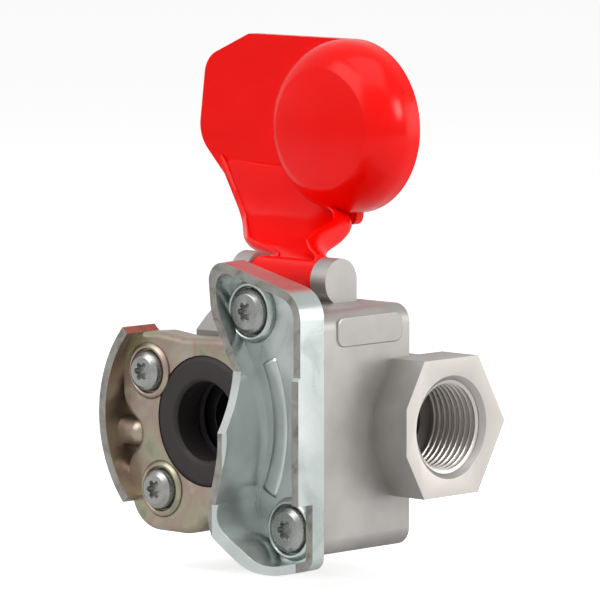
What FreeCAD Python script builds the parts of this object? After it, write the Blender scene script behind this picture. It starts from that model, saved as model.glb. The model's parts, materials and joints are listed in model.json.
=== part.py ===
import FreeCAD, Part
import math
import os

# Palm coupler for a trailer's air line.
# Origin: centre of the face seal's contact face. The coupling axis is Y, with the housing on its
# +Y side. +X points out of the hose port and +Z is up. All sizes are in millimetres.
SIZES = {
    "sheet_steel": 2.0,
    "seal_radius": 14.4,
    "seal_hole_radius": 8.7,
    "seal_rim_radius": 15.0,
    "seal_depth": 7.0,
    "plate_set_back": 0.5,
    "housing_depth": 27.0,
    "housing_half_height": 26.4,
    "housing_right": 36.0,
    "housing_left": 14.0,
    "claw_left": 16.4,
    "port_setback": 30.0,
    "port_barrel_radius": 15.0,
    "port_length": 9.6,
    "port_flats": 30.0,
    "port_vertex_cut": 2.95,
    "thread_minor_radius": 10.2,
    "thread_length": 15.0,
    "thread_lead_in": 1.1,
    "passage_radius": 6.5,
    "chamber_radius": 11.0,
    "chamber_floor": 29.0,
    "ring_setback": 7.8,
    "ring_thickness": 1.2,
    "sleeve_radius": 10.95,
    "sleeve_bore": 6.6,
    "sleeve_front": 10.4,
    "sleeve_length": 11.0,
    "sleeve_head": 3.6,
    "oring_wire": 1.6,
    "spring_wire": 1.2,
    "spring_radius": 8.6,
    "spring_turns": 4.0,
    "claw_lobe_radius": 5.9,
    "face_screw_radius": 4.6,
    "claw_screw_radius": 5.2,
    "screw_shank_radius": 2.4,
    "screw_length": 8.0,
    "flange_radius": 29.0,
    "flange_angle": 42.0,
    "flange_level": 4.5,
    "flange_height": 8.0,
    "claw_height": 18.0,
    "claw_outer_height": 8.0,
    "claw_lean": 3.0,
    "hinge_setback": 18.2,
    "hinge_height": 31.0,
    "hinge_boss_radius": 5.0,
    "pin_radius": 2.5,
    "ear_width": 4.6,
    "ear_skin": 1.5,
    "lid_root_left": 0.0,
    "lid_root_right": 19.0,
    "lid_wall": 2.2,
    "dome_radius": 19.4,
    "dome_flat_radius": 13.2,
    "dome_height": 9.6,
    "running_gap": 0.05,
    "seat_gap": 0.3,
}

ORIGIN = FreeCAD.Vector(0, 0, 0)
AXIS_X = FreeCAD.Vector(1, 0, 0)
AXIS_Y = FreeCAD.Vector(0, 1, 0)
AXIS_Z = FreeCAD.Vector(0, 0, 1)

doc = FreeCAD.newDocument("palm_coupler")
sheet = doc.addObject("Spreadsheet::Sheet", "Sizes")
for row, (alias, value) in enumerate(SIZES.items(), start=1):
    sheet.set("A%d" % row, alias)
    sheet.set("B%d" % row, str(value))
    sheet.setAlias("B%d" % row, alias)
doc.recompute()


def size(alias):
    return float(sheet.get(alias))


def vec(x, y, z):
    return FreeCAD.Vector(x, y, z)


def face_of(points):
    # A flat face from corner points, closed back to the first.
    wire = Part.makePolygon(points + [points[0]])
    return Part.Face(wire)


def rounded_outline(corners, level):
    # A closed wire in a plane of constant Y from corners (x, z, radius), each corner an arc.
    count = len(corners)
    cuts = []
    sides = []
    for index in range(count):
        x, z, radius = corners[index]
        nx, nz, nradius = corners[(index + 1) % count]
        sides.append(math.hypot(nx - x, nz - z))
    for index in range(count):
        x, z, radius = corners[index]
        here = vec(x, level, z)
        before = vec(corners[index - 1][0], level, corners[index - 1][1]) - here
        after = vec(corners[(index + 1) % count][0], level, corners[(index + 1) % count][1]) - here
        before.normalize()
        after.normalize()
        half = before.getAngle(after) / 2
        reach = min(radius / math.tan(half), 0.46 * sides[index - 1], 0.46 * sides[index])
        radius = reach * math.tan(half)
        middle = before + after
        middle.normalize()
        centre_way = middle * (radius / math.sin(half))
        top = here + centre_way - middle * radius
        cuts.append((here + before * reach, top, here + after * reach))
    edges = []
    for index in range(count):
        start, top, end = cuts[index]
        edges.append(Part.Arc(start, top, end).toShape())
        following = cuts[(index + 1) % count][0]
        if end.distanceToPoint(following) > 1e-4:
            edges.append(Part.LineSegment(end, following).toShape())
    return Part.Wire(edges)


def inset(corners, distance):
    # The same corners moved inwards by a distance, for a list that runs anticlockwise in (x, z).
    count = len(corners)
    moved = []
    for index in range(count):
        x, z, radius = corners[index]
        bx, bz = corners[index - 1][:2]
        ax, az = corners[(index + 1) % count][:2]
        inward = vec(x - bx, 0, z - bz).normalize()
        outward = vec(ax - x, 0, az - z).normalize()
        first = vec(-inward.z, 0, inward.x)
        second = vec(-outward.z, 0, outward.x)
        shift = (first + second) * (distance / (1 + first.dot(second)))
        turn = inward.x * outward.z - inward.z * outward.x
        kept = max(radius - distance, 0.6) if turn > 0 else radius + distance
        moved.append((x + shift.x, z + shift.z, kept))
    return moved


def turned(profile, axis_point, axis, angle=360.0):
    # A solid turned from a closed profile of points.
    return face_of(profile).revolve(axis_point, axis, angle)


def along_y(profile):
    # Turned about the coupling axis from (radius, y) pairs.
    return turned([vec(radius, y, 0) for radius, y in profile], ORIGIN, AXIS_Y)


def rod_y(radius, start, end, x=0.0, z=0.0):
    return Part.makeCylinder(radius, end - start, vec(x, start, z), AXIS_Y)


def rod_x(radius, start, end, y, z):
    return Part.makeCylinder(radius, end - start, vec(start, y, z), AXIS_X)


def box(low, high):
    return Part.makeBox(high[0] - low[0], high[1] - low[1], high[2] - low[2], vec(*low))


PARTS = []


def keep(label, shape):
    # One named piece of the coupler.
    piece = doc.addObject("Part::Feature", label)
    piece.Label = label
    if shape.ShapeType == "Compound" and len(shape.Solids) == 1:
        shape = shape.Solids[0]
    piece.Shape = shape
    piece.Placement = shape.Placement
    PARTS.append(piece)
    return piece


def bound(kind, label, expressions, placement=None):
    # A primitive whose sizes follow the sheet.
    item = doc.addObject(kind, label)
    for prop, expression in expressions.items():
        item.setExpression(prop, expression)
    if placement is not None:
        item.Placement = placement
    return item


TURN_TO_Y = FreeCAD.Rotation(AXIS_X, -90)
TURN_TO_X = FreeCAD.Rotation(AXIS_Y, 90)


def build_housing():
    # Die-cast body: a tall block behind the claw, a round nose behind the face plate, the
    # hexagonal hose port on its side and two ears for the lid's hinge.
    half = size("housing_half_height")
    right = size("housing_right")
    depth = size("housing_depth")
    left = size("housing_left")
    split = size("claw_left") + size("sheet_steel")
    nose_front = size("plate_set_back") + size("sheet_steel")
    shoulder = 12.0
    outline = rounded_outline([(-left, -half, 6), (right, -half, 4), (right, half, 4), (-left, half, 6)],
                              shoulder)
    body = Part.Face(outline).extrude(vec(0, depth - shoulder, 0))
    pad_outline = rounded_outline([(split, -half, 3), (right, -half, 4), (right, half, 4), (split, half, 3)], 0)
    body = body.fuse(Part.Face(pad_outline).extrude(vec(0, shoulder + 1, 0)))
    x, z = CLAW_SCREWS[0]
    body = body.fuse(rod_y(size("claw_lobe_radius"), 0, size("screw_length") + 0.4, x, z))
    nose = rounded_outline(inset(FACE_OUTLINE, size("sheet_steel") + size("seat_gap")), nose_front)
    body = body.fuse(Part.Face(nose).extrude(vec(0, shoulder + 1 - nose_front, 0)))
    # The slope that the lid's neck swings over when it is shut.
    slope = face_of([vec(-40, shoulder - 1, half - 9), vec(-40, shoulder - 1, half + 9),
                     vec(-40, shoulder + 13, half + 9), vec(-40, shoulder + 9, half + 0.1)])
    body = body.cut(slope.extrude(vec(40 + split, 0, 0)))
    barrel = rod_x(size("port_barrel_radius"), -left, right, size("port_setback"), 0)
    body = body.fuse(barrel)
    body = body.fuse(build_port_boss())
    body = body.fuse(hinge_ears())
    body = body.removeSplitter()
    return body.cut(housing_hollows()).removeSplitter()


def build_port_boss():
    # Hexagon with level top and bottom flats, its front corner planed off.
    flats = size("port_flats") / 2
    centre = size("port_setback")
    point = 2 * flats / math.sqrt(3)
    side = point / 2
    start = size("housing_right") - 1
    corners = [(-side, flats), (side, flats), (point, 0), (side, -flats), (-side, -flats), (-point, 0)]
    points = [vec(start, centre + y, z) for y, z in corners]
    boss = face_of(points).extrude(vec(size("port_length") + 1, 0, 0))
    flat = centre - point + size("port_vertex_cut")
    cutter = box((start - 1, flat - 20, -30), (start + 40, flat, 30))
    return boss.cut(cutter)


def hinge_ears():
    radius = size("hinge_boss_radius")
    height = size("hinge_height")
    setback = size("hinge_setback")
    base = size("housing_half_height") - 3
    ears = []
    for start in (size("lid_root_left") - size("seat_gap") - size("ear_width"),
                  size("lid_root_right") + size("seat_gap")):
        ear = rod_x(radius, start, start + size("ear_width"), setback, height)
        foot = box((start, setback - radius / 2, base), (start + size("ear_width"), setback + radius, height))
        ears.append(ear.fuse(foot))
    return ears[0].fuse(ears[1])


def housing_hollows():
    # Everything bored out of the casting.
    port_end = size("housing_right") + size("port_length")
    setback = size("port_setback")
    floor = size("chamber_floor")
    front = size("plate_set_back")
    hollows = rod_y(size("seal_rim_radius") + size("running_gap"), front, size("seal_depth"))
    hollows = hollows.fuse(rod_y(size("chamber_radius"), front, floor))
    thread = rod_x(size("thread_minor_radius"), port_end - size("thread_length"), port_end + 1, setback, 0)
    lead = size("thread_lead_in")
    radius = size("thread_minor_radius")
    mouth = Part.makeCone(radius, radius + lead, lead, vec(port_end - lead, setback, 0), AXIS_X)
    passage = rod_x(size("passage_radius"), 0, port_end - 1, setback, 0)
    hollows = hollows.fuse(thread)
    hollows = hollows.fuse(mouth)
    hollows = hollows.fuse(passage)
    pin_end = size("lid_root_right") + size("seat_gap") + size("ear_width") - size("ear_skin")
    pin = rod_x(size("pin_radius"), -30, pin_end, size("hinge_setback"), size("hinge_height"))
    hollows = hollows.fuse(pin)
    ring = size("ring_setback")
    clip_groove = rod_y(size("chamber_radius") + 1.0, ring, ring + size("ring_thickness"))
    hollows = hollows.fuse(clip_groove)
    for x, z in FACE_SCREWS + CLAW_SCREWS:
        hollows = hollows.fuse(rod_y(size("screw_shank_radius"), -4, size("screw_length") + 0.4, x, z))
    return hollows


FACE_SCREWS = [(-17.2, 9.8), (-13.4, -16.0)]
CLAW_SCREWS = [(16.8, 25.6), (28.6, -20.6)]
# Corners (x, z, radius) of the face plate's raised front: two lobes that hold the screws, with a
# waist between them.
FACE_OUTLINE = [(17.4, 8, 9), (8, 18.6, 9), (-7, 17.8, 8), (-15, 18.6, 7), (-26.5, 17.4, 8),
                (-26, 1.5, 7), (-18.6, -4, 9), (-25, -11, 6), (-22, -25.5, 9), (-4, -25.5, 9),
                (3, -19.5, 9), (12, -17.5, 9), (17.4, -8, 9)]


def build_face_plate():
    # Pressed steel: the raised front turns back into a skirt, and a lower flange at the free side
    # carries the catch rim and its stop bump.
    front = size("plate_set_back")
    steel = size("sheet_steel")
    level = size("flange_level")
    back = level + steel
    skirt = Part.Face(rounded_outline(FACE_OUTLINE, front)).extrude(vec(0, back - front, 0))
    rim = [edge for edge in skirt.Edges if edge.BoundBox.YMax < front + 0.01]
    skirt = skirt.makeFillet(1.6, rim)
    outer = size("flange_radius")
    flange = rod_y(outer, level, back).cut(rod_y(12, level - 1, back + 1))
    wall = rod_y(outer, level - size("flange_height"), back)
    wall = wall.cut(rod_y(outer - steel, level - size("flange_height") - 1, back + 1))
    half_angle = math.radians(size("flange_angle"))
    reach = 60
    wedge = face_of([vec(0, -30, 0), vec(-reach, -30, reach * math.tan(half_angle)),
                     vec(-reach, -30, -reach * math.tan(half_angle))]).extrude(vec(0, 60, 0))
    flange = flange.fuse(wall).common(wedge)
    plate = skirt.fuse(flange)
    inner = Part.Face(rounded_outline(inset(FACE_OUTLINE, steel), front + steel)).extrude(vec(0, 20, 0))
    plate = plate.cut(inner)
    plate = plate.fuse(stop_bump())
    plate = plate.cut(rod_y(size("seal_radius") + size("running_gap"), -20, 20))
    for x, z in FACE_SCREWS:
        plate = plate.cut(rod_y(size("screw_shank_radius"), -5, 20, x, z))
    return plate.removeSplitter()


def stop_bump():
    # The bump that stops the other coupler's rim, drawn up out of the flange.
    level = size("flange_level")
    bump_radius = 3.4
    start = vec(-size("flange_radius") + size("sheet_steel") / 2, level - 1.0, -4.5)
    rod = Part.makeCylinder(bump_radius, 5.4, start, AXIS_X)
    nose = Part.makeSphere(bump_radius, start + vec(5.4, 0, 0))
    bump = rod.fuse(nose)
    return bump.cut(box((-60, level + size("sheet_steel"), -60), (60, 60, 60)))


def claw_outline(rise, distance):
    # The claw's outline at a height above its floor. The wall beside the seal leans outwards.
    lean = size("claw_lean") * (rise / size("claw_height") - 1)
    right = size("housing_right")
    corners = [(right, -28.5, 3), (right, 30.5, 7), (10.0 + lean, 37.5, 5), (11.2 + lean, 25.0, 12),
               (23.4 + lean, 3.0, 30),
               (18.0 + lean, -18.5, 10), (26.0, -31.0, 6)]
    return rounded_outline(inset(corners, distance), -rise)


def build_guide_claw():
    # Pressed steel tray that hooks over the other coupler's rim: deep beside the seal, shallow at
    # the outer side, and open at its lower corner.
    steel = size("sheet_steel")
    height = size("claw_height")
    outer = Part.makeLoft([claw_outline(0, 0), claw_outline(height, 0)], True, True)
    inner = Part.makeLoft([claw_outline(steel, steel), claw_outline(height + 1, steel)], True, True)
    tray = outer.cut(inner)
    low = size("claw_outer_height")
    trim = face_of([vec(-10, -height - 5, -60), vec(23, -height - 5, -60), vec(23, -height, -60),
                    vec(32, -low, -60), vec(60, -low, -60), vec(60, -height - 9, -60),
                    vec(-10, -height - 9, -60)])
    tray = tray.cut(trim.extrude(vec(0, 0, 120)))
    crown = face_of([vec(0, -7.4, 60), vec(0, -7.4, 13), vec(0, -height, 1),
                     vec(0, -height - 9, 1), vec(0, -height - 9, 60)])
    tray = tray.cut(crown.extrude(vec(60, 0, 0)))
    foot = face_of([vec(20, -height - 9, -60), vec(20, -height, -60), vec(31, -steel - 1.6, -60),
                    vec(60, -steel - 1.6, -60), vec(60, -height - 9, -60)])
    tray = tray.cut(foot.extrude(vec(0, 0, 45.5)))
    for x, z in CLAW_SCREWS:
        tray = tray.cut(rod_y(size("screw_shank_radius"), -9, 9, x, z))
    return tray.removeSplitter()


def build_seal():
    # Moulded rubber ring with a rim held under the face plate and a soft front bead.
    outer = size("seal_radius")
    hole = size("seal_hole_radius")
    rim = size("seal_rim_radius")
    depth = size("seal_depth")
    under = size("plate_set_back") + size("sheet_steel") + size("seat_gap")
    return along_y([(hole + 0.8, 0), (outer - 1.0, 0), (outer, 0.8), (outer, under), (rim, under),
                    (rim, depth - 0.6), (rim - 0.6, depth), (hole, depth), (hole, 0.8)])


def build_sleeve():
    # Valve sleeve: a bored head that carries the O-ring, and a skirt that houses the spring.
    outer = size("sleeve_radius")
    bore = size("sleeve_bore")
    front = size("sleeve_front")
    back = front + size("sleeve_length")
    head = front + size("sleeve_head")
    wire = size("oring_wire")
    groove = front + (size("sleeve_head") - wire) / 2
    floor = outer - wire
    return along_y([(bore, front), (outer - 0.6, front), (outer, front + 0.6), (outer, groove),
                    (floor, groove), (floor, groove + wire), (outer, groove + wire), (outer, back),
                    (outer - 1.0, back), (outer - 1.0, head), (bore, head)])


def build_spring():
    # Compression spring between the sleeve's head and its seat.
    start = size("sleeve_front") + size("sleeve_head") + size("spring_wire") / 2
    end = size("chamber_floor") - size("ring_thickness") - size("spring_wire") / 2
    radius = size("spring_radius")
    pitch = (end - start) / size("spring_turns")
    helix = Part.makeHelix(pitch, end - start, radius)
    profile = Part.Wire(Part.Circle(vec(radius, 0, 0), AXIS_Y, size("spring_wire") / 2).toShape())
    spring = Part.Wire(helix.Edges).makePipeShell([profile], True, True)
    spring.rotate(ORIGIN, AXIS_X, -90)
    spring.translate(vec(0, start, 0))
    return spring


def build_screw(x, z, seat, head_radius):
    # Pan-head screw with a six-lobed socket. Its head stands on the plate at height seat.
    head = 2.6
    shank = size("screw_shank_radius") - size("running_gap")
    profile = [vec(0, seat - head, 0), vec(head_radius - 1.4, seat - head, 0),
               vec(head_radius - 0.4, seat - head + 0.8, 0), vec(head_radius, seat, 0),
               vec(shank, seat, 0), vec(shank, size("screw_length"), 0), vec(0, size("screw_length"), 0)]
    screw = turned(profile, ORIGIN, AXIS_Y)
    socket = rod_y(1.5, seat - head - 1, seat - head + 1.4)
    for lobe in range(6):
        angle = lobe * math.pi / 3
        socket = socket.fuse(rod_y(0.6, seat - head - 1, seat - head + 1.4,
                                   1.55 * math.cos(angle), 1.55 * math.sin(angle)))
    screw = screw.cut(socket)
    screw.translate(vec(x, 0, z))
    return screw


def build_lid():
    # Moulded lid in its raised position. Its dome seals the face when it is turned down.
    setback = size("hinge_setback")
    height = size("hinge_height")
    wall = size("lid_wall")
    top = 2 * setback + size("seat_gap")
    base = top + size("dome_height")
    centre = 2 * height
    left = size("lid_root_left")
    right = size("lid_root_right")
    lid = build_dome(top, base, wall)
    outline = rounded_outline([(-33.5, centre - 22, 4), (2, centre - 22, 2), (6, centre, 2),
                               (1, centre + size("dome_radius"), 0.8), (-31, centre + size("dome_radius"), 3),
                               (-44.5, centre + 13.5, 6), (-46.8, centre - 4.5, 8), (-37, centre - 14.5, 12)],
                              base)
    plate = Part.Face(outline).extrude(vec(0, wall, 0))
    plate = plate.cut(rod_y(size("dome_radius") - wall, base - 1, base + 9, 0, centre))
    neck = neck_loft(0, base + wall, 0)
    hollow = neck_loft(wall, base, 14)
    dome_room = rod_y(size("dome_radius") - wall, top + wall, base + 9, 0, centre)
    neck = neck.cut(hollow).cut(dome_room)
    barrel = rod_x(size("hinge_boss_radius") - 0.8, left, right, setback, height)
    lid = lid.fuse(plate).fuse(neck).fuse(barrel)
    lid = lid.cut(rod_x(size("pin_radius") + size("running_gap"), -40, 60, setback, height))
    return lid.removeSplitter()


def build_dome(top, base, wall):
    radius = size("dome_radius")
    flat = size("dome_flat_radius")
    centre = 2 * size("hinge_height")
    points = []
    for inside in (0, wall):
        edges_top = vec(flat - 0.4 * inside, top + inside, 0)
        middle = vec((flat + radius) / 2 + 1.4 - 0.9 * inside, (top + base) / 2 - 1.2 + 0.5 * inside, 0)
        rim = vec(radius - inside, base, 0)
        points.append((edges_top, middle, rim))
    outer, inner = points
    lower = base + wall
    edges = [Part.LineSegment(vec(0, top, 0), outer[0]).toShape(), Part.Arc(*outer).toShape(),
             Part.LineSegment(outer[2], vec(radius, lower, 0)).toShape(),
             Part.LineSegment(vec(radius, lower, 0), vec(radius - wall, lower, 0)).toShape(),
             Part.LineSegment(vec(radius - wall, lower, 0), inner[2]).toShape(),
             Part.Arc(inner[2], inner[1], inner[0]).toShape(),
             Part.LineSegment(inner[0], vec(0, top + wall, 0)).toShape(),
             Part.LineSegment(vec(0, top + wall, 0), vec(0, top, 0)).toShape()]
    dome = Part.Face(Part.Wire(edges)).revolve(ORIGIN, AXIS_Y, 360)
    dome.translate(vec(0, 0, centre))
    return dome


def neck_loft(skin, top_back, reach):
    # The tapered channel from the hinge up to the lid's plate, or its hollow when skin is a wall.
    setback = size("hinge_setback")
    hinge = size("hinge_height")
    left = size("lid_root_left") + skin
    right = size("lid_root_right") - skin
    spare = 0.02 if skin else 0
    stations = [(hinge - 0.6 - spare, left, right, setback - 3.9, setback + 3.6),
                (hinge + 5.5, left, 8.6 - skin, setback + 4.3, setback + 11.3),
                (hinge + 14.0 + spare, -34.5 + skin, 1.0 - skin, top_back - 4.5 + skin, top_back + skin)]
    wires = []
    for level, low, high, front, back in stations:
        corners = [vec(low, front - reach, level), vec(high, front - reach, level),
                   vec(high, back - skin, level), vec(low, back - skin, level)]
        wires.append(Part.makePolygon(corners + [corners[0]]))
    return Part.makeLoft(wires, True, True)


keep("housing", build_housing())
keep("face_plate", build_face_plate())
keep("guide_claw", build_guide_claw())
keep("face_seal", build_seal())
keep("valve_sleeve", build_sleeve())
keep("valve_spring", build_spring())
for name, (x, z) in zip(("face_screw_upper", "face_screw_lower"), FACE_SCREWS):
    keep(name, build_screw(x, z, size("plate_set_back"), size("face_screw_radius")))
for name, (x, z) in zip(("claw_screw_upper", "claw_screw_lower"), CLAW_SCREWS):
    keep(name, build_screw(x, z, -size("sheet_steel"), size("claw_screw_radius")))
keep("lid", build_lid())

# Pieces made of primitives whose sizes follow the sheet.
sleeve_oring = bound("Part::Torus", "sleeve_oring",
                     {"Radius1": "Sizes.sleeve_radius - Sizes.oring_wire / 2",
                      "Radius2": "Sizes.oring_wire / 2",
                      "Placement.Base.y": "Sizes.sleeve_front + Sizes.sleeve_head / 2"},
                     FreeCAD.Placement(ORIGIN, TURN_TO_Y))
PARTS.append(sleeve_oring)


def bound_ring(label, outer, inner, length, place_y):
    # A flat ring about the coupling axis.
    rim = bound("Part::Cylinder", label + "_rim", {"Radius": outer, "Height": length, "Placement.Base.y": place_y},
                FreeCAD.Placement(ORIGIN, TURN_TO_Y))
    hole = bound("Part::Cylinder", label + "_hole", {"Radius": inner, "Height": length, "Placement.Base.y": place_y},
                 FreeCAD.Placement(ORIGIN, TURN_TO_Y))
    ring = doc.addObject("Part::Cut", label)
    ring.Base = rim
    ring.Tool = hole
    PARTS.append(ring)
    return ring


bound_ring("stop_ring", "Sizes.chamber_radius + 0.95", "Sizes.seal_hole_radius", "Sizes.ring_thickness",
           "Sizes.ring_setback")
bound_ring("spring_seat", "Sizes.chamber_radius - 0.1", "Sizes.sleeve_bore + 0.6", "Sizes.ring_thickness",
           "Sizes.chamber_floor - Sizes.ring_thickness")
pin_start = "Sizes.lid_root_left - Sizes.seat_gap - Sizes.ear_width"
pin_length = "Sizes.lid_root_right - Sizes.lid_root_left + 2 * (Sizes.seat_gap + Sizes.ear_width)"
pin_length += " - Sizes.ear_skin"
PARTS.append(bound("Part::Cylinder", "lid_pin",
                   {"Radius": "Sizes.pin_radius", "Height": pin_length, "Placement.Base.x": pin_start,
                    "Placement.Base.y": "Sizes.hinge_setback", "Placement.Base.z": "Sizes.hinge_height"},
                   FreeCAD.Placement(ORIGIN, TURN_TO_X)))

doc.recompute()
for item in doc.Objects:
    if "Invalid" in item.State or "Error" in item.State:
        raise RuntimeError("%s did not rebuild" % item.Label)
os.makedirs("parts", exist_ok=True)
for piece in PARTS:
    shape = piece.Shape
    if shape.isNull() or not shape.isValid() or not shape.Solids:
        raise RuntimeError("%s has no valid shape" % piece.Label)
    shape.exportStep("parts/%s.step" % piece.Label)
    print(piece.Label, round(shape.Volume), len(shape.Solids), len(shape.Faces))
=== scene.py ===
import json
import math

import bmesh
import bpy
from mathutils import Matrix, Vector


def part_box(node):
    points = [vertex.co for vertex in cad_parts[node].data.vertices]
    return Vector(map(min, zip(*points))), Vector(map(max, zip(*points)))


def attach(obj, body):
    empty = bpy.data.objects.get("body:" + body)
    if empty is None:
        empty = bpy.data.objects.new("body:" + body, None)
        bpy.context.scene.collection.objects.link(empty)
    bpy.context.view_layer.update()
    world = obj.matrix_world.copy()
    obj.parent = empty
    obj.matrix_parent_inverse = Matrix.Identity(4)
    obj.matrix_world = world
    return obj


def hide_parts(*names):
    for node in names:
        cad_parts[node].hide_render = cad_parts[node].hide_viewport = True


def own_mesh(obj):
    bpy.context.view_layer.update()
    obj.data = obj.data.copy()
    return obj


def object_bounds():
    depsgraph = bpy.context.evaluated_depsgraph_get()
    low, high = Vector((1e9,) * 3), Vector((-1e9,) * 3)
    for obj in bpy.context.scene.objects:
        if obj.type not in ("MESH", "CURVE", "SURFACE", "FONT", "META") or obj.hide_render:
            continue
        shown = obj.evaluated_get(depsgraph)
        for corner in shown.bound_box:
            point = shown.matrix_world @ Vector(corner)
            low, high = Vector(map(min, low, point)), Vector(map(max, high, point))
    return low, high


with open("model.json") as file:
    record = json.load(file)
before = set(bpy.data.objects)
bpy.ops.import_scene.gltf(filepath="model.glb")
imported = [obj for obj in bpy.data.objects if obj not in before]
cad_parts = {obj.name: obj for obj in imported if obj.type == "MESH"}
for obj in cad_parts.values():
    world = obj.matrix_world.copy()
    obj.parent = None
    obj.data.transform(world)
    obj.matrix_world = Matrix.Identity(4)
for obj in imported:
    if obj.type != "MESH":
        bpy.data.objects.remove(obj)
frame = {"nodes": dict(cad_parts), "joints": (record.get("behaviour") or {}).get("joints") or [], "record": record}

cad_box = [list(corner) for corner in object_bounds()]
MM = 0.001

# Cast housing: aluminium alloy, pressure die cast and left as it came from the die, with a fine
# satin grain. The mouth of the hose port is machined bright. It is one piece with port and ears.
SAME_POINT = 0.005 * MM
FLAT_ANGLE = math.radians(0.1)
SHARP_ANGLE = math.radians(32)
EASED_ANGLE = math.radians(38)


def linear(code, alpha=1.0):
    # An sRGB hex value as linear colour.
    parts = [int(code[i:i + 2], 16) / 255 for i in (1, 3, 5)]
    return [p / 12.92 if p <= 0.04045 else ((p + 0.055) / 1.055) ** 2.4 for p in parts] + [alpha]


def add(tree, kind, settings=None, **links):
    # One node with its settings. A link's name is the input, with spaces as underscores.
    node = tree.nodes.new(kind)
    for key, value in (settings or {}).items():
        if key in node.inputs:
            node.inputs[key].default_value = value
        else:
            setattr(node, key, value)
    for key, source in links.items():
        tree.links.new(source, node.inputs[key.replace("_", " ")])
    return node


def new_material(name):
    # An empty material and its node tree.
    material = bpy.data.materials.new(name)
    material.use_nodes = True
    tree = material.node_tree
    tree.nodes.clear()
    return material, tree


def object_place(tree):
    # The object's own coordinates, in metres.
    return add(tree, "ShaderNodeTexCoord").outputs["Object"]


def noise(tree, place, size_mm, detail, **extra):
    # Noise whose patches are about size_mm wide.
    return add(tree, "ShaderNodeTexNoise", {"Scale": 1 / (size_mm * MM), "Detail": detail, **extra},
               Vector=place)


def tinted(tree, pattern, stops):
    # A colour ramp over a pattern, from (position, colour) stops.
    tint = add(tree, "ShaderNodeValToRGB", {}, Fac=pattern.outputs["Fac"])
    elements = tint.color_ramp.elements
    for element, (position, colour) in zip(elements, (stops[0], stops[-1])):
        element.position = position
        element.color = linear(colour)
    for position, colour in stops[1:-1]:
        elements.new(position).color = linear(colour)
    return tint.outputs["Color"]


def roughened(tree, pattern, low, high):
    # Roughness that goes from low to high with a pattern.
    spread = add(tree, "ShaderNodeMapRange", {"To Min": low, "To Max": high}, Value=pattern.outputs["Fac"])
    return spread.outputs["Result"]


def bumped(tree, pattern, strength, depth_mm):
    # Fine relief from a pattern, for the grain of a surface.
    bump = add(tree, "ShaderNodeBump", {"Strength": strength, "Distance": depth_mm * MM},
               Height=pattern.outputs["Fac"])
    return bump.outputs["Normal"]


def shaded(tree, settings, **links):
    # The surface shader, joined to the material's output.
    shader = add(tree, "ShaderNodeBsdfPrincipled", settings, **links)
    add(tree, "ShaderNodeOutputMaterial", {}, Surface=shader.outputs["BSDF"])


def ease_edges(piece, width_mm, segments):
    # A small rounding of the edges that are sharper than EASED_ANGLE.
    ease = piece.modifiers.new("eased_edges", "BEVEL")
    ease.width = width_mm * MM
    ease.segments = segments
    ease.limit_method = "ANGLE"
    ease.angle_limit = EASED_ANGLE
    ease.use_clamp_overlap = True
    ease.harden_normals = True


def finished(node, body, material, edge_mm, segments=3):
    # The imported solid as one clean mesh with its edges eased, in place of the plain node.
    mesh = frame["nodes"][node].data.copy()
    mesh.materials.clear()
    mesh.materials.append(material)
    shape = bmesh.new()
    shape.from_mesh(mesh)
    bmesh.ops.remove_doubles(shape, verts=shape.verts, dist=SAME_POINT)
    bmesh.ops.dissolve_limit(shape, angle_limit=FLAT_ANGLE, verts=shape.verts, edges=shape.edges)
    for face in shape.faces:
        face.smooth = True
        face.material_index = 0
    shape.to_mesh(mesh)
    shape.free()
    mesh.set_sharp_from_angle(angle=SHARP_ANGLE)
    piece = bpy.data.objects.new(node + "_finish", mesh)
    bpy.context.scene.collection.objects.link(piece)
    if edge_mm:
        ease_edges(piece, edge_mm, segments)
    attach(piece, body)
    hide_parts(node)
    return piece


def built(name, shape, material, smooth=True):
    # A new object of one material from a bmesh.
    for face in shape.faces:
        face.smooth = smooth
    mesh = bpy.data.meshes.new(name)
    shape.to_mesh(mesh)
    shape.free()
    mesh.materials.append(material)
    piece = bpy.data.objects.new(name, mesh)
    bpy.context.scene.collection.objects.link(piece)
    return piece


def closed_loop(shape, points):
    # The vertices and edges of a closed outline, ready to be spun.
    verts = [shape.verts.new(point) for point in points]
    return verts, [shape.edges.new((verts[i], verts[(i + 1) % len(verts)])) for i in range(len(verts))]


def cast_aluminium():
    # Die-cast aluminium: dull grey with slight blotches about 12 mm wide and a grain of 0.4 mm.
    material, tree = new_material("die_cast_aluminium")
    place = object_place(tree)
    blotch = noise(tree, place, 12, 3.0)
    grain = noise(tree, place, 0.4, 2.0)
    shaded(tree, {"Metallic": 0.85},
           Base_Color=tinted(tree, blotch, [(0.35, "#a5a29f"), (0.68, "#b4b1ae")]),
           Roughness=roughened(tree, blotch, 0.38, 0.52), Normal=bumped(tree, grain, 0.12, 0.1))
    return material


def machined_aluminium():
    # Turned aluminium: bright, with fine rings 0.3 mm apart about the port's axis.
    material, tree = new_material("machined_aluminium")
    centre = add(tree, "ShaderNodeMapping", {"Location": (0, -PORT_SETBACK, 0)}, Vector=object_place(tree))
    rings = add(tree, "ShaderNodeTexWave", {"wave_type": "RINGS", "rings_direction": "X",
                                            "Scale": 1 / (0.3 * MM) / 6.28, "Distortion": 0.4},
                Vector=centre.outputs["Vector"])
    shaded(tree, {"Base Color": linear("#c6c1bb"), "Metallic": 0.9, "Roughness": 0.34},
           Normal=bumped(tree, rings, 0.06, 0.05))
    return material


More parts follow.
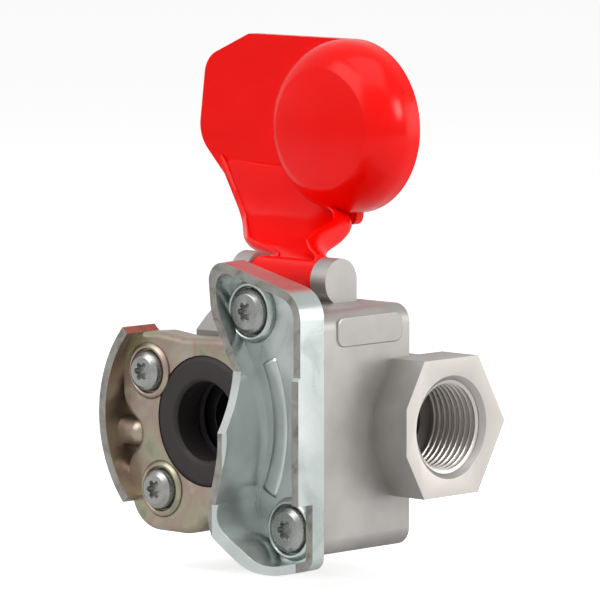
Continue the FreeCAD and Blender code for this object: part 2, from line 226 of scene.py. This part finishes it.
port_mount = next(mount for mount in frame["record"]["mounts"] if mount["name"] == "inlet_thread")
PORT_SETBACK = port_mount["pos_m"][1]
THREAD_WALL = port_mount["dims"]["r_mm"] * MM
PORT_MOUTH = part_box("housing")[1][0]
MOUTH_SKIN = 0.1 * MM
cast = cast_aluminium()
bright = machined_aluminium()
casting = finished("housing", "coupler", cast, edge_mm=0.7)
casting.data.materials.append(bright)
for polygon in casting.data.polygons:
    if polygon.center.x > PORT_MOUTH - MOUTH_SKIN:
        polygon.material_index = 1

# Casting pad: a flat raised 0.35 mm on the housing's port side, above the port. It was cast with
# the housing.
PAD_CORNERS = ((4.0, 18.6), (24.4, 25.0))
PAD_RISE = 0.35 * MM
PAD_SINK = 0.1 * MM
PAD_SIDE = 36.0 * MM
PAD_CORNER_RADIUS = 2.2 * MM
PAD_EDGE_RADIUS = 0.25 * MM
(pad_front, pad_bottom), (pad_back, pad_top) = PAD_CORNERS
pad_middle = (PAD_SIDE - PAD_SINK, (pad_front + pad_back) / 2 * MM, (pad_bottom + pad_top) / 2 * MM)
pad = bmesh.new()
bmesh.ops.create_grid(pad, x_segments=1, y_segments=1, size=0.5,
                      matrix=Matrix.Translation(pad_middle) @ Matrix.Rotation(math.pi / 2, 4, "Y")
                      @ Matrix.Diagonal(((pad_top - pad_bottom) * MM, (pad_back - pad_front) * MM, 1, 1)))
bmesh.ops.bevel(pad, geom=pad.verts[:], offset=PAD_CORNER_RADIUS, affect="VERTICES", segments=6,
                profile=0.5, material=-1)
grown = bmesh.ops.extrude_face_region(pad, geom=pad.faces[:])
raised = [item for item in grown["geom"] if isinstance(item, bmesh.types.BMVert)]
bmesh.ops.translate(pad, verts=raised, vec=(PAD_RISE + PAD_SINK, 0, 0))
bmesh.ops.recalc_face_normals(pad, faces=pad.faces)
rim = [edge for edge in pad.edges if all(vert in raised for vert in edge.verts)]
bmesh.ops.bevel(pad, geom=rim, offset=PAD_EDGE_RADIUS, affect="EDGES", segments=2, profile=0.5,
                material=-1)
casting_pad = built("casting_pad", pad, cast, smooth=False)
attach(casting_pad, "coupler")

# Hose port thread: metric fine, 1.5 mm pitch, cut in the casting's bore. Its crests stand just
# inside the plain bore that the frame gives.
THREAD_PITCH = 1.5 * MM
THREAD_DEPTH = 0.75 * MM
THREAD_TURNS = 9
THREAD_LEAD_IN = 1.3 * MM
CREST_SHARES = (0.62, 0.78)
ROOT_RADIUS = THREAD_WALL - 0.03 * MM
CREST_RADIUS = THREAD_WALL - THREAD_DEPTH
SUNK_RADIUS = THREAD_WALL + 0.01 * MM
THREAD_SHARP_ANGLE = math.radians(25)
first_turn = PORT_MOUTH - THREAD_LEAD_IN - THREAD_TURNS * THREAD_PITCH
last_turn = first_turn + THREAD_TURNS * THREAD_PITCH
section = []
for turn in range(THREAD_TURNS):
    start = first_turn + turn * THREAD_PITCH
    section.append((start, ROOT_RADIUS))
    section += [(start + share * THREAD_PITCH, CREST_RADIUS) for share in CREST_SHARES]
section += [(last_turn, ROOT_RADIUS), (last_turn, SUNK_RADIUS), (first_turn, SUNK_RADIUS)]
thread = bmesh.new()
profile, profile_edges = closed_loop(thread, [(x, PORT_SETBACK, radius) for x, radius in section])
bmesh.ops.spin(thread, geom=profile + profile_edges, cent=(0, PORT_SETBACK, 0), axis=(1, 0, 0),
               angle=2 * math.pi, steps=96, use_merge=True)
bmesh.ops.recalc_face_normals(thread, faces=thread.faces)
port_thread = built("port_thread", thread, bright)
port_thread.data.set_sharp_from_angle(angle=THREAD_SHARP_ANGLE)
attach(port_thread, "coupler")

# Pressed plates: mild steel, zinc plated. The face plate is yellow passivated, so it shows olive,
# straw and faint rose. The claw is clear passivated, brighter and bluer.


def plated_steel(name, colours, blot_mm, rough_low, rough_high):
    # Zinc on drawn sheet: cloudy colour over broad patches, and fine draw marks 0.25 mm apart.
    material, tree = new_material(name)
    place = object_place(tree)
    cloud = noise(tree, place, blot_mm, 4.0, Distortion=0.6)
    streak = add(tree, "ShaderNodeMapping", {"Scale": (1, 1, 0.08)}, Vector=place)
    marks = noise(tree, streak.outputs["Vector"], 0.25, 2.0)
    between = [(0.42 + 0.12 * step, colour) for step, colour in enumerate(colours[1:-1])]
    stops = [(0.30, colours[0])] + between + [(0.72, colours[-1])]
    shaded(tree, {"Metallic": 0.9}, Base_Color=tinted(tree, cloud, stops),
           Roughness=roughened(tree, cloud, rough_low, rough_high), Normal=bumped(tree, marks, 0.08, 0.05))
    return material


yellow_zinc = plated_steel("yellow_passivated_zinc", ["#8d9080", "#a8a48c", "#a8948a", "#b9b7a4"],
                           blot_mm=9, rough_low=0.26, rough_high=0.40)
clear_zinc = plated_steel("clear_zinc", ["#a9b2af", "#bec6c3", "#d0d6d4"],
                          blot_mm=14, rough_low=0.22, rough_high=0.36)
sheared = plated_steel("sheared_steel_edge", ["#7d7a74", "#94918b", "#a8a6a1"],
                       blot_mm=3, rough_low=0.36, rough_high=0.5)
FACING_FRONT = -0.8
PLATE_SHEAR_LEVEL = -1.5 * MM
CLAW_SHEAR_LEVEL = -3.0 * MM


def shear_edges(piece, level):
    # The cut edges of a pressed sheet, which face the front beyond a level, are duller and brown.
    piece.data.materials.append(sheared)
    for polygon in piece.data.polygons:
        if polygon.normal.y < FACING_FRONT and polygon.center.y < level:
            polygon.material_index = 1


plate = finished("face_plate", "coupler", yellow_zinc, edge_mm=0.5)
shear_edges(plate, PLATE_SHEAR_LEVEL)
claw = finished("guide_claw", "coupler", clear_zinc, edge_mm=0.85, segments=4)
shear_edges(claw, CLAW_SHEAR_LEVEL)

# Stiffening bead in the claw's floor: a shallow crescent pressed up beside the deep wall, which
# follows the seal's curve.
CLAW_FLOOR = -2.0 * MM
BEAD_CENTRE = Vector((-6.5 * MM, 0, 1.0 * MM))
BEAD_RADIUS = 31.6 * MM
BEAD_HALF_WIDTH = 2.2 * MM
BEAD_RISE = 0.6 * MM
BEAD_SINK = 0.1 * MM
BEAD_HALF_ANGLE = math.radians(27)
BEAD_FACETS = 8
arch_points = []
for step in range(BEAD_FACETS + 1):
    angle = math.pi * step / BEAD_FACETS
    arch_points.append((BEAD_RADIUS - BEAD_HALF_WIDTH * math.cos(angle),
                        CLAW_FLOOR + BEAD_SINK - BEAD_RISE * math.sin(angle), 0))
bead = bmesh.new()
arch, arch_edges = closed_loop(bead, arch_points)
bmesh.ops.rotate(bead, verts=arch, cent=(0, 0, 0), matrix=Matrix.Rotation(BEAD_HALF_ANGLE, 3, "Y"))
bmesh.ops.spin(bead, geom=arch + arch_edges, cent=(0, 0, 0), axis=(0, 1, 0),
               angle=-2 * BEAD_HALF_ANGLE, steps=32)
bmesh.ops.translate(bead, verts=bead.verts, vec=BEAD_CENTRE)
bmesh.ops.holes_fill(bead, edges=bead.edges, sides=0)
bmesh.ops.recalc_face_normals(bead, faces=bead.faces)
claw_bead = built("claw_bead", bead, clear_zinc)
for polygon in claw_bead.data.polygons:
    polygon.use_smooth = len(polygon.vertices) == 4
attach(claw_bead, "coupler")

# Screw seats: each sheet is drawn up as a ring round a screw's head, so that the head sits in a
# dish. They are part of the same sheets. The profile goes outwards from the head's own radius.
SEAT_PROFILE = [(0.1, 0.05), (0.25, -1.2), (0.6, -1.55), (1.0, -1.35), (1.4, -0.6), (1.8, 0.05)]
PLATE_FRONT_LEVEL = 0.5 * MM
CLAW_SEAT_HEIGHT = 1.0
PLATE_SEAT_HEIGHT = 0.6


def screw_seat(screw, level, height, material):
    # One drawn ring round the named screw. Height is the share of SEAT_PROFILE's own rise.
    low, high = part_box(screw)
    middle = ((low[0] + high[0]) / 2, 0, (low[2] + high[2]) / 2)
    head = (high[0] - low[0]) / 2
    dish = bmesh.new()
    ring, ring_edges = closed_loop(dish, [(middle[0] + head + reach * MM, level + rise * height * MM,
                                           middle[2]) for reach, rise in SEAT_PROFILE])
    bmesh.ops.spin(dish, geom=ring + ring_edges, cent=middle, axis=(0, 1, 0), angle=2 * math.pi,
                   steps=72, use_merge=True)
    bmesh.ops.recalc_face_normals(dish, faces=dish.faces)
    seat = built(screw + "_seat", dish, material)
    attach(seat, "coupler")


for side in ("upper", "lower"):
    screw_seat("claw_screw_" + side, CLAW_FLOOR, CLAW_SEAT_HEIGHT, clear_zinc)
    screw_seat("face_screw_" + side, PLATE_FRONT_LEVEL, PLATE_SEAT_HEIGHT, yellow_zinc)

# Face seal and O-ring: moulded nitrile rubber, brownish black and matt, with a very fine grain.
# The seal's lip is the face that the other coupler's seal meets.


def moulded_rubber():
    # Nitrile rubber: tone varies over 5 mm, and the skin has a grain of 0.35 mm.
    material, tree = new_material("moulded_nitrile_rubber")
    place = object_place(tree)
    grain = noise(tree, place, 0.35, 3.0)
    patch = noise(tree, place, 5, 2.0)
    shaded(tree, {"Roughness": 0.62, "IOR": 1.52},
           Base_Color=tinted(tree, patch, [(0.0, "#1f1819"), (1.0, "#2b2324")]),
           Normal=bumped(tree, grain, 0.15, 0.05))
    return material


rubber = moulded_rubber()
finished("face_seal", "coupler", rubber, edge_mm=0.25)
finished("sleeve_oring", "sleeve", rubber, edge_mm=0)

# Valve pieces inside the bore: a dark anodised sleeve, its wire spring, the spring's seat and the
# ring that stops the sleeve. The spring gets a mesh of its own.


def plain_metal(name, colour, roughness, grain_mm):
    # Turned or drawn metal with a fine lay of tool marks.
    material, tree = new_material(name)
    marks = noise(tree, object_place(tree), grain_mm, 2.0)
    shaded(tree, {"Base Color": linear(colour), "Metallic": 0.9},
           Roughness=roughened(tree, marks, roughness - 0.05, roughness + 0.08),
           Normal=bumped(tree, marks, 0.08, 0.04))
    return material


anodised = plain_metal("dark_anodised", "#3a3839", roughness=0.42, grain_mm=0.4)
spring_steel = plain_metal("drawn_spring_steel", "#8c8c8a", roughness=0.34, grain_mm=0.3)
finished("valve_sleeve", "sleeve", anodised, edge_mm=0.2)
for node in ("spring_seat", "stop_ring"):
    finished(node, "coupler", spring_steel, edge_mm=0)
coil = finished("valve_spring", "coupler", spring_steel, edge_mm=0)
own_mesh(coil)

# Screws and hinge pin: zinc-plated steel. The screws have low round heads with six-lobed sockets,
# which stand on the plates inside their seats.
plated_screw = plain_metal("plated_screw_steel", "#a2a3a0", roughness=0.27, grain_mm=0.5)
for node in ("face_screw_upper", "face_screw_lower", "claw_screw_upper", "claw_screw_lower"):
    finished(node, "coupler", plated_screw, edge_mm=0.25, segments=2)
finished("lid_pin", "coupler", plated_screw, edge_mm=0.2, segments=2)

# Lid: glossy red moulded plastic, one piece with its dome, handle plate and hinge neck. The packed
# solid's plain neck comes off here, and the next section's sweeping channel takes its place.


def glossy_red_plastic():
    # Moulded polyamide: saturated red and smooth. Gloss varies over 8 mm, and the skin has a faint
    # grain of 0.8 mm.
    material, tree = new_material("glossy_red_polyamide")
    place = object_place(tree)
    wave = noise(tree, place, 8, 0.0)
    skin = noise(tree, place, 0.8, 2.0)
    shaded(tree, {"IOR": 1.53, "Specular IOR Level": 0.2},
           Base_Color=tinted(tree, wave, [(0.0, "#ee0400"), (1.0, "#f80500")]),
           Roughness=roughened(tree, wave, 0.20, 0.27), Normal=bumped(tree, skin, 0.04, 0.04))
    return material


red = glossy_red_plastic()
lid = finished("lid", "lid_body", red, edge_mm=0)
HINGE = Vector(next(joint["pos_m"] for joint in frame["joints"] if joint["name"] == "lid_pivot"))
DOME_CENTRE_HEIGHT = 62.0 * MM
DOME_REACH = 19.45 * MM
HINGE_REACH = 4.3 * MM
PLATE_FRONT = 46.2 * MM
moulding = bmesh.new()
moulding.from_mesh(lid.data)
neck_faces = []
for face in moulding.faces:
    off_dome = max(math.hypot(v.co.x, v.co.z - DOME_CENTRE_HEIGHT) for v in face.verts) > DOME_REACH
    off_barrel = max(math.hypot(v.co.y - HINGE.y, v.co.z - HINGE.z) for v in face.verts) > HINGE_REACH
    if off_dome and off_barrel and min(v.co.y for v in face.verts) < PLATE_FRONT:
        neck_faces.append(face)
bmesh.ops.delete(moulding, geom=neck_faces, context="FACES")
open_edges = [edge for edge in moulding.edges if edge.is_boundary]
bmesh.ops.holes_fill(moulding, edges=open_edges, sides=0)
bmesh.ops.recalc_face_normals(moulding, faces=moulding.faces)
moulding.to_mesh(lid.data)
moulding.free()
lid.data.set_sharp_from_angle(angle=SHARP_ANGLE)
ease_edges(lid, 0.5, 3)

# Lid's neck: a moulded channel of the same red plastic, which widens from the hinge barrel to the
# handle plate. Its right wall stands deep below the dome, and its left wall is a low flange.
# Each station holds the left and right sides, then the back's and the right wall's setback and height.
NECK_STATIONS = [(0.4, 18.4, 21.6, 32.8, 15.6, 33.8), (0.4, 17.8, 24.0, 33.6, 17.9, 37.2),
                 (-7.0, 14.0, 25.6, 34.4, 19.6, 38.2), (-13.5, 9.9, 27.7, 35.4, 22.8, 39.8),
                 (-20.6, 8.0, 34.6, 36.6, 28.6, 41.2), (-27.2, 5.8, 41.2, 38.8, 36.4, 42.6),
                 (-33.0, 3.6, 45.0, 42.4, 38.6, 44.6), (-37.0, -10.4, 46.1, 47.2, 45.8, 47.4),
                 (-40.6, -15.2, 46.9, 52.4, 46.8, 52.6)]
NECK_WALL = 2.0 * MM
FLANGE_LIP = Vector((0, -1.6 * MM, 1.4 * MM))
CORNER_CREASE = 0.75
RIM_CREASE = 0.7
NECK_SMOOTHING = 3
channel = bmesh.new()
rows = []
for left, right, back, level, front, crest in NECK_STATIONS:
    corner = Vector((left * MM, back * MM, level * MM))
    rows.append([channel.verts.new(corner + FLANGE_LIP), channel.verts.new(corner),
                 channel.verts.new(((left + right) / 2 * MM, back * MM, level * MM)),
                 channel.verts.new((right * MM, back * MM, level * MM)),
                 channel.verts.new((right * MM, front * MM, crest * MM))])
crease = channel.edges.layers.float.new("crease_edge")
for lower, upper in zip(rows, rows[1:]):
    for side in range(4):
        channel.faces.new((lower[side], lower[side + 1], upper[side + 1], upper[side]))
    for side in (1, 3):
        channel.edges.get((lower[side], upper[side]))[crease] = CORNER_CREASE
bmesh.ops.recalc_face_normals(channel, faces=channel.faces)
if max(channel.faces, key=lambda face: face.calc_center_median().x).normal.x < 0:
    bmesh.ops.reverse_faces(channel, faces=channel.faces)
lid_neck = built("lid_neck", channel, red)
wall = lid_neck.modifiers.new("wall", "SOLIDIFY")
wall.thickness = NECK_WALL
wall.offset = -1.0
wall.edge_crease_rim = RIM_CREASE
soften = lid_neck.modifiers.new("soften", "SUBSURF")
soften.levels = NECK_SMOOTHING
soften.render_levels = NECK_SMOOTHING
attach(lid_neck, "lid_body")

# Floor: plain and pale, part of the studio and not of the coupler. It glows for the camera alone,
# so that it stays near white and casts no extra light on the object.
FLOOR_DROP = 4 * MM
FLOOR_HALF = 3.0
FLOOR_GLOW = 0.62
pale, pale_tree = new_material("pale_paper")
path = add(pale_tree, "ShaderNodeLightPath")
paper = add(pale_tree, "ShaderNodeBsdfDiffuse", {"Color": linear("#f4f4f4")})
strength = add(pale_tree, "ShaderNodeMapRange", {"To Min": 0.0, "To Max": FLOOR_GLOW},
               Value=path.outputs["Is Camera Ray"])
glow = add(pale_tree, "ShaderNodeEmission", {"Color": linear("#ffffff")},
           Strength=strength.outputs["Result"])
both = add(pale_tree, "ShaderNodeAddShader")
pale_tree.links.new(paper.outputs["BSDF"], both.inputs[0])
pale_tree.links.new(glow.outputs["Emission"], both.inputs[1])
add(pale_tree, "ShaderNodeOutputMaterial", {}, Surface=both.outputs["Shader"])
ground = bmesh.new()
bmesh.ops.create_grid(ground, x_segments=1, y_segments=1, size=FLOOR_HALF)
bmesh.ops.translate(ground, verts=ground.verts, vec=(0, 0, cad_box[0][2] - FLOOR_DROP))
floor = built("studio_floor", ground, pale, smooth=False)

# World: white surroundings for the camera, a grey dome for the object's surfaces, and a brighter
# grey in the metal's reflections.
SURFACE_LEVEL = 0.36
REFLECTION_LEVEL = 0.74
scene = bpy.context.scene
world = bpy.data.worlds.new("studio")
scene.world = world
world.use_nodes = True
sky = world.node_tree
sky.nodes.clear()
seen = add(sky, "ShaderNodeLightPath")
gloss = add(sky, "ShaderNodeMapRange", {"To Min": SURFACE_LEVEL, "To Max": REFLECTION_LEVEL},
            Value=seen.outputs["Is Glossy Ray"])
dome_light = add(sky, "ShaderNodeBackground", {"Color": linear("#ffffff")},
                 Strength=gloss.outputs["Result"])
backdrop = add(sky, "ShaderNodeBackground", {"Color": linear("#ffffff"), "Strength": 1.0})
mixed = add(sky, "ShaderNodeMixShader", {}, Fac=seen.outputs["Is Camera Ray"])
sky.links.new(dome_light.outputs["Background"], mixed.inputs[1])
sky.links.new(backdrop.outputs["Background"], mixed.inputs[2])
add(sky, "ShaderNodeOutputWorld", {}, Surface=mixed.outputs["Shader"])

# Camera and lamps: a long lens from the front right, aimed so that the seal lies where the picture
# shows it, and square soft lamps at the left, right, above and the far side.
VIEW_AZIMUTH = math.radians(43.5)
VIEW_ELEVATION = math.radians(6.0)
CAMERA_DISTANCE = 1.3
LENS = 359.0
SENSOR_WIDTH = 36.0
NEAR_CLIP = 0.01
PIXELS_PER_METRE = 4600.0
SEAL_CENTRE_PX = (203.6, 422.0)
IMAGE_CENTRE_PX = (300.0, 300.0)
AIM_FORWARD = 4 * MM
LAMP_DISTANCE = 0.7


def direction(azimuth, elevation):
    # The unit vector towards a place seen at these angles from the object. Azimuth 0 is the front.
    return Vector((math.sin(azimuth) * math.cos(elevation), -math.cos(azimuth) * math.cos(elevation),
                   math.sin(elevation)))


towards = direction(VIEW_AZIMUTH, VIEW_ELEVATION)
rightward = Vector((math.cos(VIEW_AZIMUTH), math.sin(VIEW_AZIMUTH), 0))
upward = towards.cross(rightward)
aim = rightward * ((IMAGE_CENTRE_PX[0] - SEAL_CENTRE_PX[0]) / PIXELS_PER_METRE)
aim += upward * ((SEAL_CENTRE_PX[1] - IMAGE_CENTRE_PX[1]) / PIXELS_PER_METRE)
aim += towards * AIM_FORWARD


def soft_lamp(name, azimuth, elevation, side, power):
    # A square soft lamp that faces the object. Azimuth, in degrees, is from the camera's own.
    way = direction(VIEW_AZIMUTH + math.radians(azimuth), math.radians(elevation))
    lamp = bpy.data.lights.new(name, "AREA")
    lamp.shape = "SQUARE"
    lamp.size = side
    lamp.energy = power
    holder = bpy.data.objects.new(name, lamp)
    holder.location = aim + way * LAMP_DISTANCE
    holder.rotation_euler = way.to_track_quat("Z", "Y").to_euler()
    scene.collection.objects.link(holder)


soft_lamp("lamp_left", azimuth=-60, elevation=40, side=0.5, power=2.1)
soft_lamp("lamp_right", azimuth=58, elevation=24, side=0.2, power=1.5)
soft_lamp("lamp_top", azimuth=10, elevation=75, side=0.6, power=1.7)
soft_lamp("lamp_side", azimuth=94, elevation=6, side=0.42, power=1.1)

camera_data = bpy.data.cameras.new("camera")
camera_data.lens = LENS
camera_data.sensor_width = SENSOR_WIDTH
camera_data.clip_start = NEAR_CLIP
camera = bpy.data.objects.new("camera", camera_data)
camera.location = aim + towards * CAMERA_DISTANCE
camera.rotation_euler = towards.to_track_quat("Z", "Y").to_euler()
scene.collection.objects.link(camera)
scene.camera = camera
scene.view_settings.view_transform = "Standard"
